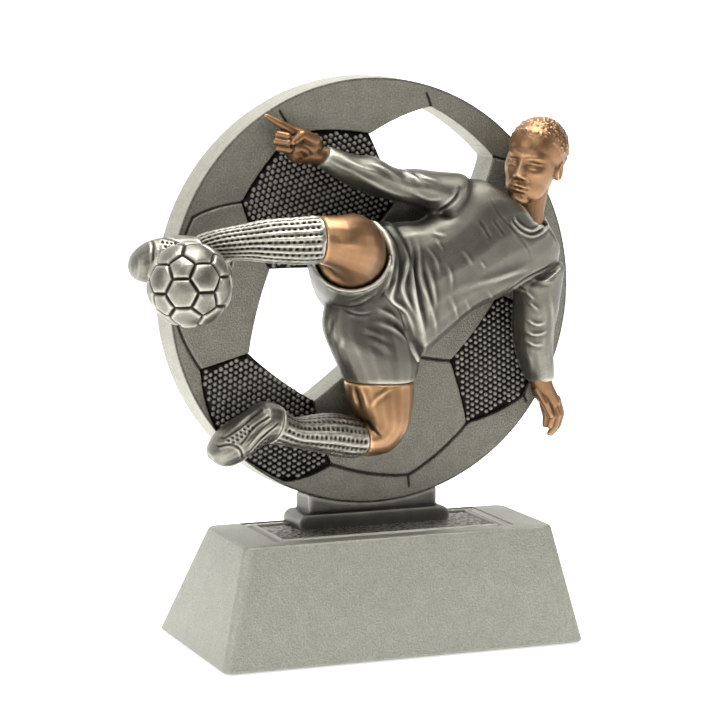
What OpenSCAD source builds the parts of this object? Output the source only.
// Football figure trophy: a volleying player in high relief on an open football disc.
// Millimetres. The origin is the middle of the underside, +Z is up and -Y is the front.

/* [Base] */
// Width of the base at the floor
base_w = 108; // [88:1:140]
// Depth of the base at the floor
base_d = 62; // [52:1:80]
// Height of the base's top face
base_h = 34; // [28:1:45]
// How far each side leans in, from floor to top
side_lean = 8; // [4:0.5:10]
// How far the front leans in
front_lean = 5; // [3:0.5:8]
// How far the back leans in
back_lean = 21.5; // [15:0.5:24]
// Radius of the base's upright corners
corner_r = 3; // [2:0.5:5]
// Thickness of the felt pad
felt_t = 1.5; // [1:0.5:3]
// How far the felt pad stands proud of the base
felt_proud = 0.5; // [0.3:0.1:1]

/* [Top inlay] */
// Margin from the top's side edges to the inlay
inlay_side = 10; // [6:1:14]
// Margin from the top's front edge to the inlay
inlay_front = 5; // [3:0.5:8]
// Depth of the inlay's pocket
inlay_depth = 1.6; // [1.2:0.1:2.5]
// Width of the raised frame round the inlay
frame_w = 4; // [3:0.5:5]

/* [Disc] */
// Diameter of the disc's front face
disc_d = 120; // [98:1:145]
// Thickness of the disc
disc_t = 12; // [9:0.5:15]
// Growth of the disc's radius from front to back
disc_draft = 0.6; // [0:0.1:1]
// Height of the disc's lowest point above the base
disc_rise = 6; // [5:0.5:9]
// Width of a seam groove on the disc
seam_w = 0.9; // [0.6:0.1:1.4]
// Depth of a seam groove on the disc
seam_depth = 0.6; // [0.4:0.1:1]
// Depth of the pockets for the pebbled panels
pocket_depth = 2; // [1.5:0.1:3]
// Thickness of a pebbled panel
panel_t = 1.2; // [0.8:0.1:1.5]
// Gap between a pebbled panel and its pocket
panel_gap = 0.45; // [0.2:0.05:0.6]

/* [Pedestal] */
// Length of the pedestal slab
slab_w = 46; // [38:1:56]
// Height of the pedestal slab
slab_h = 5.2; // [4:0.2:6.5]
// How far the slab stands out past each face of the disc
slab_lip = 0.8; // [0.5:0.1:1.5]
// Length of the neck that cradles the disc
neck_w = 39; // [34:1:46]
// Distance from the slab's back to the top's back edge
rear_margin = 0.7; // [0.5:0.1:2]

/* [Match ball] */
// Diameter of the match ball, on a disc of 120
ball_d = 23.2; // [18:0.2:26]

/* [Fixings] */
// Distance between the two clamp screws
screw_gap = 28; // [24:1:32]
// Shank diameter of a clamp screw
screw_d = 5; // [4:0.5:6]
// Depth of the screw pockets in the underside
screw_pocket = 22; // [16:1:24]
// Outer diameter of a threaded insert
insert_d = 7; // [6.5:0.5:9]
// Length of a threaded insert
insert_h = 6; // [5:0.5:7]
// Diameter of the dowels between disc and figure
dowel_d = 3; // [2:0.5:4]
// Diameter of the small pins between the figure's pieces
pin_d = 1.8; // [1.2:0.2:2.4]
// Radial clearance round dowels, pins and screws
clearance = 0.1; // [0.05:0.05:0.2]

/* [Hidden] */
$fn = 64;

top_w = base_w - 2 * side_lean;
top_front = -base_d / 2 + front_lean;
top_back = base_d / 2 - back_lean;
slab_d = disc_t + 2 * slab_lip;
slab_back = top_back - rear_margin;
disc_y = slab_back - slab_d / 2;
face_y = disc_y - disc_t / 2;
disc_r = disc_d / 2;
disc_z = base_h + disc_rise + disc_r;
pocket_floor = base_h - inlay_depth;
slab_top = pocket_floor + slab_h;
far = 200;

silver = "#a3a498";
shade_silver = "#8b8b80";
bronze = "#b9834f";
dark_ground = "#4a4740";

// Base

module rounded_plate(x0, x1, y0, y1, h, r) {
    linear_extrude(h) union() {
        translate([x0 + r, y0]) square([x1 - x0 - 2 * r, y1 - y0]);
        translate([x0, y0 + r]) square([x1 - x0, y1 - y0 - 2 * r]);
        for (x = [x0 + r, x1 - r], y = [y0 + r, y1 - r]) translate([x, y]) circle(r);
    }
}

module base_block() {
    skin = 0.01;
    color(silver) difference() {
        hull() {
            translate([0, 0, felt_proud])
                corner_posts(base_w / 2, -base_d / 2, base_d / 2, skin);
            translate([0, 0, base_h - skin])
                corner_posts(top_w / 2, top_front, top_back, skin);
        }
        translate([0, 0, pocket_floor]) inlay_plate(0, inlay_depth + 1);
        translate([0, 0, felt_proud - 1]) felt_plate(0.2, felt_t - felt_proud + 1);
        for (x = [-1, 1] * screw_gap / 2) translate([x, disc_y, 0]) {
            cylinder(h = base_h, r = screw_d / 2 + 2 * clearance);
            cylinder(h = screw_pocket, r = screw_d + 0.5);
        }
    }
}

module corner_posts(half_w, y0, y1, h) {
    for (x = [-1, 1] * (half_w - corner_r), y = [y0 + corner_r, y1 - corner_r])
        translate([x, y, 0]) cylinder(h = h, r = corner_r, $fn = 32);
}

// The felt's outline, grown by gap on every side
module felt_plate(gap, h) {
    inset = 3;
    rounded_plate(-base_w / 2 + inset - gap, base_w / 2 - inset + gap,
        -base_d / 2 + inset - gap, base_d / 2 - inset + gap, h, corner_r);
}

module felt_pad() {
    color("#3a4a3c") felt_plate(0, felt_t);
}

// The inlay's outline, shrunk by gap on every side
module inlay_plate(gap, h) {
    half = top_w / 2 - inlay_side - gap;
    y0 = top_front + inlay_front + gap;
    y1 = slab_back + clearance - gap;
    translate([-half, y0, 0]) cube([2 * half, y1 - y0, h]);
}

module top_inlay() {
    plate_t = inlay_depth - 0.7;
    half = top_w / 2 - inlay_side - frame_w;
    y0 = top_front + inlay_front + frame_w;
    color(dark_ground) translate([0, 0, pocket_floor]) difference() {
        inlay_plate(clearance, inlay_depth);
        translate([-half, y0, plate_t]) cube([2 * half, slab_back - frame_w - y0, inlay_depth]);
        translate([-slab_w / 2 - clearance, disc_y - slab_d / 2 - clearance, -1])
            cube([slab_w + 2 * clearance, slab_d + 10, inlay_depth + 2]);
    }
}

// Pedestal

module slab_profile() {
    r = slab_h / 2;
    translate([-slab_w / 2 + r, 0]) square([slab_w - 2 * r, slab_h]);
    for (x = [-1, 1] * (slab_w / 2 - r)) translate([x, r]) circle(r);
}

module pedestal() {
    neck_top = disc_z - sqrt(pow(disc_r, 2) - pow(neck_w / 2, 2)) + 1;
    color(shade_silver) difference() {
        union() {
            translate([0, slab_back, pocket_floor]) rotate([90, 0, 0])
                linear_extrude(slab_d) slab_profile();
            translate([-neck_w / 2, disc_y - disc_t / 2 + 0.6, slab_top - 1])
                cube([neck_w, disc_t - 1.2, neck_top - slab_top + 1]);
        }
        disc_blank(0.02);
        disc_pin_set(clearance);
        for (x = [-1, 1] * screw_gap / 2) translate([x, disc_y, pocket_floor - 1])
            cylinder(h = insert_h + 1, r = insert_d / 2 + clearance / 2);
    }
}

// Disc and its football pattern. The seams are those of a football as wide as the disc,
// seen from straight in front, so they are worked out on a ball and flattened onto the face.

// Turn of the football about X, then Y, then Z
seam_turn = [101, -18, 102];
seam_ball_r = disc_r * 1.013;
// Directions of the two open panels, the pebbled pentagon and the two pebbled hexagons
open_a = [19, -43, 38];
open_b = [-20, -56, -10];
pebble_pent = [40, -40, -22];
pebble_hex_a = [-18, -51, 28];
pebble_hex_b = [-35, -33, -37];

golden = (1 + sqrt(5)) / 2;
function unit(v) = v / norm(v);
function about_x(p, a) = [p.x, p.y * cos(a) - p.z * sin(a), p.y * sin(a) + p.z * cos(a)];
function about_y(p, a) = [p.x * cos(a) + p.z * sin(a), p.y, p.z * cos(a) - p.x * sin(a)];
function about_z(p, a) = [p.x * cos(a) - p.y * sin(a), p.x * sin(a) + p.y * cos(a), p.z];
function turned(p, r) = about_z(about_y(about_x(p, r.x), r.y), r.z);

// Middles of the twelve pentagons
pent = [for (a = [-1, 1], b = [-golden, golden], p = [[0, a, b], [a, b, 0], [b, 0, a]])
    turned(unit(p), seam_turn)];
last_pent = len(pent) - 1;
function meets(i, j) = i != j && pent[i] * pent[j] > 0.4;
// Triples of pentagons round each hexagon
hex = [for (i = [0:last_pent], j = [i:last_pent], k = [j:last_pent])
    if (meets(i, j) && meets(j, k) && meets(i, k)) [i, j, k]];
function hex_dir(h) = unit(pent[h[0]] + pent[h[1]] + pent[h[2]]);
function facing(dirs, d) = [for (i = [0:len(dirs) - 1]) if (dirs[i] * unit(d) > 0.97) i][0];
open_pents = [facing(pent, open_a), facing(pent, open_b)];
bead_pent = facing(pent, pebble_pent);
hex_dirs = [for (h = hex) hex_dir(h)];
bead_hexes = [hex[facing(hex_dirs, pebble_hex_a)], hex[facing(hex_dirs, pebble_hex_b)]];

// Corner of pentagon i on the side of pentagon j
function corner(i, j) = unit(2 * pent[i] + pent[j]);
function chain(rest, path) = len(rest) == 0 ? path
    : let (tail = path[len(path) - 1], next = [for (j = rest) if (meets(tail, j)) j][0])
      chain([for (j = rest) if (j != next) j], concat(path, [next]));
function around(i) = let (n = [for (j = [0:last_pent]) if (meets(i, j)) j])
    chain([for (j = n) if (j != n[0]) j], [n[0]]);

arc_steps = 6;
function arc(a, b, stop = arc_steps - 1) = [for (s = [0:stop])
    unit(a * (1 - s / arc_steps) + b * s / arc_steps)];
function flat(p) = [p.x, p.z] * seam_ball_r;
function pent_outline(i) = let (n = around(i))
    [for (k = [0:4]) each [for (p = arc(corner(i, n[k]), corner(i, n[(k + 1) % 5]))) flat(p)]];
function hex_outline(h) = let (i = h[0], j = h[1], k = h[2],
        c = [corner(i, j), corner(j, i), corner(j, k), corner(k, j), corner(k, i), corner(i, k)])
    [for (n = [0:5]) each [for (p = arc(c[n], c[(n + 1) % 6])) flat(p)]];
function mean(pts, n = 0, sum = [0, 0]) = n == len(pts) ? sum / n : mean(pts, n + 1, sum + pts[n]);
function shrunk(pts, gap) = let (m = mean(pts)) [for (p = pts) p - unit(p - m) * gap];

function has(list, v) = len([for (x = list) if (x == v) x]) > 0;
function in_hex(h, i, j) = has(h, i) && has(h, j);
function plain_edge(i, j, k) = !has(open_pents, i) && i != bead_pent
    && len([for (h = bead_hexes) if (in_hex(h, i, j) && has(h, k)) h]) == 0;
function joins_beads(i, j) = len([for (h = bead_hexes) if (in_hex(h, i, j)) h]) > 0;
function seen(a, b) = -a.y > 0.05 && -b.y > 0.05;
pent_seams = [for (i = [0:last_pent]) let (n = around(i)) for (k = [0:4])
    let (j = n[k], m = n[(k + 1) % 5], a = corner(i, j), b = corner(i, m))
    if (plain_edge(i, j, m) && seen(a, b)) [a, b]];
hex_seams = [for (i = [0:last_pent], j = [i:last_pent]) let (a = corner(i, j), b = corner(j, i))
    if (meets(i, j) && !joins_beads(i, j) && (-a.y > 0.05 || -b.y > 0.05)) [a, b]];

// A strip of the width of a seam along an arc, a little long at both ends so that strips meet
module seam_strip(a, b) {
    path = [for (p = arc(a, b, arc_steps)) if (-p.y > 0.02 && norm(flat(p)) < disc_r - 1.5) flat(p)];
    last = len(path) - 1;
    function way(i) = unit(path[min(i + 1, last)] - path[max(i - 1, 0)]);
    function on(i) = path[i] + way(i) * (i == 0 ? -1 : i == last ? 1 : 0) * seam_w * 0.7;
    function side(i) = [-way(i).y, way(i).x] * seam_w / 2;
    if (last > 0) polygon(concat([for (i = [0:last]) on(i) + side(i)],
        [for (i = [last:-1:0]) on(i) - side(i)]));
}

// Puts a flat drawing on the disc's face, its height towards the front
module on_face() {
    translate([0, face_y, disc_z]) rotate([90, 0, 0]) children();
}

module disc_blank(grow) {
    translate([0, disc_y + disc_t / 2 + grow, disc_z]) rotate([90, 0, 0])
        cylinder(h = disc_t + 2 * grow, r1 = disc_r + disc_draft + grow, r2 = disc_r + grow, $fn = 180);
}

module backdrop_disc() {
    color(shade_silver) difference() {
        disc_blank(0);
        on_face() {
            for (i = open_pents)
                translate([0, 0, -disc_t - 1]) linear_extrude(disc_t + 2) polygon(pent_outline(i));
            translate([0, 0, -pocket_depth]) linear_extrude(pocket_depth + 1)
                for (p = [pent_outline(bead_pent), hex_outline(bead_hexes[0]), hex_outline(bead_hexes[1])])
                    polygon(p);
            for (s = concat(pent_seams, hex_seams))
                translate([0, 0, -seam_depth]) linear_extrude(seam_depth + 1) seam_strip(s[0], s[1]);
        }
        on_disc() dowel_set(clearance);
        disc_pin_set(clearance);
    }
}

module pebble_panel(outline) {
    color(dark_ground) on_face() translate([0, 0, -pocket_depth]) linear_extrude(panel_t)
        intersection() {
            polygon(shrunk(outline, panel_gap));
            circle(disc_r - 1);
        }
}

module upper_pebble_panel() {
    pebble_panel(hex_outline(bead_hexes[0]));
}

module lower_pebble_panel() {
    pebble_panel(hex_outline(bead_hexes[1]));
}

module right_pebble_panel() {
    pebble_panel(pent_outline(bead_pent));
}

// The figure. Its pieces are drawn round the disc's middle, with y = 0 on the disc's face
// and a disc of 120, and they grow with the disc.

module on_disc() {
    translate([0, face_y, disc_z]) scale(disc_d / 120) children();
}

// Ring across a limb: from its upper or outer edge a to the opposite edge b, both [x, z],
// with its middle at depth y and half as thick as t towards the front
ring_n = 20;
function span(a, b, y, t) = let (m = (a + b) / 2, h = (a - b) / 2)
    [for (i = [0:ring_n - 1]) let (c = cos(i * 360 / ring_n), s = sin(i * 360 / ring_n))
        [m.x + h.x * c, y - t * s, m.y + h.y * c]];
// Ring round a limb that runs along t through c, with half sizes up and across
function hoop(c, t, up, across) = let (w = unit([t.y, -t.x, 0]), u = unit(cross(w, t)))
    [for (i = [0:ring_n - 1]) c + u * up * cos(i * 360 / ring_n) + w * across * sin(i * 360 / ring_n)];

// Smooth run of rings through the given ones
function curve(a, b, c, d, t) = 0.5 * (2 * b + (c - a) * t + (2 * a - 5 * b + 4 * c - d) * t * t
    + (3 * b - a - 3 * c + d) * t * t * t);
function smooth(r, n) = let (e = len(r) - 1)
    concat([for (i = [0:e - 1], s = [0:n - 1])
        curve(r[max(i - 1, 0)], r[i], r[i + 1], r[min(i + 2, e)], s / n)], [r[e]]);

// Closed skin over a run of rings
module skin(rings, steps = 3) {
    r = smooth(rings, steps);
    e = len(r) - 1;
    n = ring_n;
    polyhedron(points = [for (ring = r) each ring],
        faces = concat(
            [for (i = [0:e - 1], j = [0:n - 1])
                [i * n + j, (i + 1) * n + j, (i + 1) * n + (j + 1) % n]],
            [for (i = [0:e - 1], j = [0:n - 1])
                [i * n + j, (i + 1) * n + (j + 1) % n, i * n + (j + 1) % n]],
            [[for (j = [0:n - 1]) j]],
            [[for (j = [n - 1:-1:0]) e * n + j]]));
}

// Turns a child's height onto the direction way
module along(way) {
    rotate([0, acos(unit(way).z), atan2(way.y, way.x)]) children();
}

// Cuts away whatever would reach into the disc
module pressed() {
    difference() {
        children();
        translate([-far / 2, 0, -far / 2]) cube(far);
    }
}

// A prism right through the figure over an outline of [x, z] points
module through(points) {
    rotate([90, 0, 0]) linear_extrude(far, center = true) polygon(points);
}

// Dowels into the disc, and pins across the joints between pieces
dowel_spots = [[30, 14], [16, 8], [2, -19], [49, 0]];
dowel_in = 5;
module dowel_set(grow) {
    for (p = dowel_spots) translate([p.x, dowel_in + grow, p.y]) rotate([90, 0, 0])
        cylinder(h = 2 * dowel_in + 2 * grow, r = dowel_d / 2 + grow);
}

neck_joint = [43.9, -9, 21.2];
raised_wrist = [-17.5, -5.5, 38.7];
lowered_wrist = [49.3, -5.5, -26.8];
raised_shoulder = [20.2, -9, 27.2];
lowered_shoulder = [47, -8.5, 4.2];
waist = [4.8, -10, 1];
thigh_end = [-13.3, -16.6, 11];
kicking_top = [-26.3, -26, 17.5];
kicking_ankle = [-55.3, -14, 15];
trailing_top = [-2.5, -10, -24];
trailing_shin = [-8.2, -9, -39.8];
trailing_ankle = [-33, -8, -34.5];
ball_mid = [-62, -24, 6.5];
ball_seat = [-64.2, -15, 10.2];
thigh_way = [0.33, 0.8, -0.5];
joints = [[neck_joint, [0.48, 0, 0.88]], [raised_wrist, [1, 0, -0.5]], [lowered_wrist, [0, 0, 1]],
    [raised_shoulder, [1, 0, -0.6]], [lowered_shoulder, [0.5, 0, -0.87]], [waist, [1, 0, 0.25]],
    [thigh_end, thigh_way], [kicking_top, [1, 0, 0]], [kicking_ankle, [1, -0.2, 0.4]],
    [trailing_top, [0, 0, 1]], [trailing_shin, [1, 0, 0]], [trailing_ankle, [1, 0, 0.4]],
    [ball_seat, ball_seat - ball_mid]];
pin_half = 2.4;
module pin_set(which, grow) {
    for (j = which) translate(joints[j][0]) along(joints[j][1])
        cylinder(h = 2 * (pin_half + grow), r = pin_d / 2 + grow, center = true);
}

module joint_pins() {
    color("#c9c4b0") on_disc() pin_set([0:len(joints) - 1], 0);
}

module figure_dowels() {
    color("#c9c4b0") on_disc() dowel_set(0);
}

// Lines of the shoulders, the hem and the standing leg's knee, shared by the pieces on each side
raised_line = [[24, 33.5], [16.5, 21]];
lowered_line = [[54.5, 8.5], [39.5, 0]];
hem_line = [[0, 20], [9.5, -18]];
knee_line = [[7.5, -24.1], [-12.5, -23.6]];

module jersey() {
    color(silver) on_disc() difference() {
        pressed() skin([
            span(hem_line[0], hem_line[1], -10, 10),
            span([4.5, 20.5], [17.5, -11.5], -10, 10.5),
            span([10, 21], [25, -5.5], -10.5, 10.5),
            span([16.5, 26], [32.5, -2.5], -10.5, 10.5),
            span([20.5, 31], [40.5, 0.5], -10, 10.5),
            span([27, 32], [48.5, 4], -9.5, 10),
            span([32, 29.5], [53, 9.5], -9, 9),
            span([36, 26.5], [51, 14.5], -9, 7.5),
            span([38.8, 23.9], [49, 18.5], -9, 5.5)]);
        through([raised_line[0] + [3, 5], raised_line[1], [8, 26], [14, 40]]);
        through([lowered_line[0] + [3.5, 2], lowered_line[1], [46, -12], [62, -4]]);
        dowel_set(clearance);
        pin_set([0, 3, 4, 5], clearance);
    }
}

module raised_sleeve() {
    color(silver) on_disc() difference() {
        pressed() skin([
            span([-16, 41.5], [-19, 36], -5.5, 4.5),
            span([-13, 40.5], [-14.5, 33], -6, 5.5),
            span([-8.5, 39], [-8.5, 29.5], -6.5, 6.5),
            span([-3, 38.5], [-2, 27.2], -7, 7),
            span([3.5, 35], [5, 25.5], -7.5, 7.5),
            span([9, 35], [10.5, 24], -8, 8),
            span([15, 34.2], [13.5, 22.5], -8.5, 8.5),
            span(raised_line[0], raised_line[1], -9, 9)]);
        pin_set([1, 3], clearance);
    }
}

module lowered_sleeve() {
    color(silver) on_disc() difference() {
        pressed() skin([
            span(lowered_line[0], lowered_line[1], -8.5, 8.5),
            span([54, 2.5], [40, -4], -8, 8),
            span([53, -5], [40, -9], -7.5, 7.5),
            span([52, -11], [40.5, -12.5], -7, 7),
            span([52, -17.5], [41.5, -17.5], -6.5, 6.5),
            span([52.5, -21.5], [43, -22], -6, 6),
            span([53, -26.6], [45.5, -27], -5.5, 5)]);
        dowel_set(clearance);
        pin_set([2, 4], clearance);
    }
}

// The near leg's mouth stands open, and the thigh comes out of its recess
module shorts() {
    recess = 7;
    recess_r = 10.2;
    mouth_r = 11.4;
    mouth = thigh_end - recess / 2 * unit(thigh_way);
    color(silver) on_disc() difference() {
        pressed() {
            skin([
                span([-11, 12], [-7, -6], -9, 8),
                span([-4.5, 19], [5, -13], -10, 10),
                span(hem_line[0] + [1, 0.3], hem_line[1] + [1, 0.2], -10, 10)]);
            skin([
                span([5, -3], [-15, 4], -9, 9),
                span([7, -10], [-18, -2], -9, 9),
                span([9, -16], [-19, -8], -9.5, 9.5),
                span([9, -20], [-17.5, -13], -10, 10),
                span(knee_line[0], knee_line[1], -10, 9.8)]);
            skin([
                hoop(mouth, thigh_way, mouth_r, mouth_r),
                hoop([-12.4, -14, 10.4], [0.4, 0.85, -0.4], 12.2, 12.2),
                hoop([-9.3, -8, 8], [0.45, 0.85, -0.35], 13, 12.5),
                hoop([-6.5, 0, 5], [0.45, 0.85, -0.3], 13, 12)]);
        }
        translate(thigh_end) along(thigh_way) rotate([0, 0, 98]) translate([0, 0, -recess])
            cylinder(h = recess, r = recess_r);
        through([hem_line[0] + [-1.25, 5], hem_line[1] + [0.5, -2], [40, -20], [40, 30]]);
        dowel_set(clearance);
        pin_set([5, 6, 9], clearance);
    }
}

module head() {
    lean = [0.16, 0, 1];
    color(bronze) on_disc() difference() {
        pressed() skin([
            hoop(neck_joint, [0.48, 0, 0.88], 3.9, 4.3),
            hoop([43.8, -9.6, 24.6], [0.25, 0, 1], 3.9, 4.6),
            hoop([43, -11, 27.6], lean, 6, 6.6),
            hoop([43.2, -11, 31], lean, 8, 8.8),
            hoop([43.9, -11, 35.5], lean, 9.3, 10),
            hoop([44.7, -11, 40.5], lean, 9.9, 10.6),
            hoop([45.2, -10.8, 45], lean, 7.8, 8.6),
            hoop([45.4, -10.6, 47.4], lean, 4.6, 5.2),
            hoop([45.5, -10.6, 48.4], lean, 1.2, 1.4)]);
        pin_set([0], clearance);
    }
}

module raised_hand() {
    color(bronze) on_disc() difference() {
        pressed() {
            skin([
                span([-28.5, 46], [-30.5, 41.5], -4, 2.5),
                span([-27, 48], [-30, 39.5], -4.5, 4),
                span([-24, 47], [-27, 37.5], -5, 5),
                span([-19.5, 45], [-23, 36], -5, 5),
                span([-16, 41.5], [-19, 36], -5.5, 4)]);
            skin([
                span([-34, 50.5], [-34, 49.5], -4, 0.8),
                span([-33, 50.8], [-33, 48.8], -4, 1.4),
                span([-29.5, 49.8], [-30.5, 46.5], -4.2, 2),
                span([-25.5, 48], [-27.5, 44], -4.5, 2.4)]);
        }
        pin_set([1], clearance);
    }
}

module lowered_hand() {
    color(bronze) on_disc() difference() {
        pressed() skin([
            span([53, -26.6], [45.5, -27], -5.5, 4),
            span([55.5, -30], [47.5, -31], -5, 3.6),
            span([57.5, -34], [50.5, -34.5], -4.6, 3.2),
            span([57, -38.5], [51.5, -38], -4.4, 2.8),
            span([54, -43], [52.5, -42.5], -4.2, 1.2)]);
        pin_set([2], clearance);
    }
}

module kicking_knee() {
    color(bronze) on_disc() difference() {
        skin([
            span([-26, 24], [-26.5, 11], -26, 6.5),
            hoop([-21.5, -27, 16.6], [1, 0.15, -0.1], 7.4, 7.2),
            hoop([-17.6, -25.6, 15.4], [0.8, 0.6, -0.15], 8.9, 8.2),
            hoop([-15.6, -22.6, 14.2], [0.5, 0.85, -0.3], 9.8, 9),
            hoop(thigh_end - 3 * unit(thigh_way), thigh_way, 9.8, 9.6),
            hoop(thigh_end, thigh_way, 9.6, 9.6)]);
        pin_set([6, 7], clearance);
    }
}

module kicking_sock() {
    color(silver) on_disc() difference() {
        union() {
            skin([
                span([-57, 18.5], [-53.5, 11.5], -14, 4),
                span([-53, 20], [-50.5, 12], -17, 4.4),
                span([-46.5, 21.5], [-45, 12], -20, 5),
                span([-40, 23], [-40, 11.5], -23, 5.8),
                span([-33, 23.5], [-33, 11], -25, 6.4),
                span([-26, 24], [-26.5, 11], -26, 6.5)]);
            pressed() skin([
                hoop([-49.5, -16, 14], [0, 1, 0], 2.5, 3.5),
                hoop([-49, -8, 9], [0, 1, 0], 4.5, 4.2),
                hoop([-48.5, 0.5, 7], [0, 1, 0], 6.5, 5)]);
        }
        translate(ball_mid) sphere(ball_d / 2 + 0.05);
        pin_set([7, 8], clearance);
    }
}

module kicking_boot() {
    color(silver) on_disc() difference() {
        pressed() skin([
            span([-74.6, 11.8], [-74.6, 9.5], -10, 1.2),
            span([-73.2, 14.5], [-73.2, 7], -10.5, 4.2),
            span([-70, 17], [-69, 5.8], -11, 5.6),
            span([-66, 18.2], [-64.5, 6], -12, 6),
            span([-61.5, 18.8], [-59, 9], -13, 5.4),
            span([-57, 18.5], [-53.5, 11.5], -14, 4)]);
        translate(ball_mid) sphere(ball_d / 2 + 0.05);
        pin_set([8, 12], clearance);
    }
}

module trailing_knee() {
    color(bronze) on_disc() difference() {
        pressed() skin([
            span([-8, -34.5], [-8.5, -45], -9, 9),
            span([-8.2, -34.4], [-0.5, -44.2], -9.5, 9.5),
            span([-9, -33.5], [5, -38], -10, 10),
            span([-11.5, -29], [7, -30.5], -10, 10),
            span(knee_line[1], knee_line[0], -10, 9.8)]);
        pin_set([9, 10], clearance);
    }
}

module trailing_sock() {
    color(silver) on_disc() difference() {
        pressed() skin([
            span([-31, -29.5], [-35, -40], -8, 7.5),
            span([-27.5, -33], [-28.8, -41], -8.5, 8),
            span([-23, -33], [-24, -42.2], -9, 8.5),
            span([-18, -32.5], [-18.8, -43.6], -9, 9),
            span([-12.5, -33], [-13.5, -45], -9, 9),
            span([-8, -34.5], [-8.5, -45], -9, 9)]);
        pin_set([10, 11], clearance);
    }
}

module trailing_boot() {
    color(silver) on_disc() difference() {
        pressed() skin([
            span([-51.8, -41.8], [-51, -43.8], -7, 2.5),
            span([-51, -39.5], [-48.5, -45.6], -7, 5.5),
            span([-49, -36], [-45.5, -45.7], -7.5, 7),
            span([-45.5, -33.3], [-42.5, -44.2], -8, 7.8),
            span([-41, -31], [-39.5, -42], -8, 8),
            span([-35.8, -28.2], [-37, -40.5], -8, 8),
            span([-31, -29.5], [-35, -40], -8, 7.5)]);
        pin_set([11], clearance);
    }
}

module match_ball() {
    color(silver) on_disc() difference() {
        translate(ball_mid) sphere(ball_d / 2);
        pin_set([12], clearance);
    }
}

// Fixings

module disc_pin_set(grow) {
    pin_gap = 12;
    pin_h = 9;
    disc_foot = base_h + disc_rise;
    for (x = [-1, 1] * pin_gap / 2) translate([x, disc_y, disc_foot - 4 - grow])
        cylinder(h = pin_h + 2 * grow, r = dowel_d / 2 + grow);
}

module disc_pins() {
    color("#c9c4b0") disc_pin_set(0);
}

washer_t = 1;
module clamp_screws() {
    head_h = screw_d;
    head_z = screw_pocket - washer_t - head_h;
    color("#75757a") for (x = [-1, 1] * screw_gap / 2) translate([x, disc_y, head_z])
        difference() {
            union() {
                cylinder(h = head_h, r = screw_d * 0.85);
                cylinder(h = pocket_floor + insert_h - head_z, r = screw_d / 2);
            }
            translate([0, 0, -1]) cylinder(h = head_h * 0.6 + 1, r = screw_d * 0.45, $fn = 6);
        }
}

module screw_washers() {
    color("#8d8d92") for (x = [-1, 1] * screw_gap / 2)
        translate([x, disc_y, screw_pocket - washer_t]) difference() {
            cylinder(h = washer_t, r = screw_d);
            translate([0, 0, -1]) cylinder(h = washer_t + 2, r = screw_d / 2 + clearance);
        }
}

module pedestal_inserts() {
    color("#b8963c") for (x = [-1, 1] * screw_gap / 2)
        translate([x, disc_y, pocket_floor]) difference() {
            cylinder(h = insert_h, r = insert_d / 2);
            translate([0, 0, -1]) cylinder(h = insert_h + 2, r = screw_d / 2 + 0.05);
        }
}

base_block();
felt_pad();
top_inlay();
pedestal();
backdrop_disc();
upper_pebble_panel();
lower_pebble_panel();
right_pebble_panel();
jersey();
raised_sleeve();
lowered_sleeve();
shorts();
head();
raised_hand();
lowered_hand();
kicking_knee();
kicking_sock();
kicking_boot();
trailing_knee();
trailing_sock();
trailing_boot();
match_ball();
figure_dowels();
joint_pins();
disc_pins();
clamp_screws();
screw_washers();
pedestal_inserts();
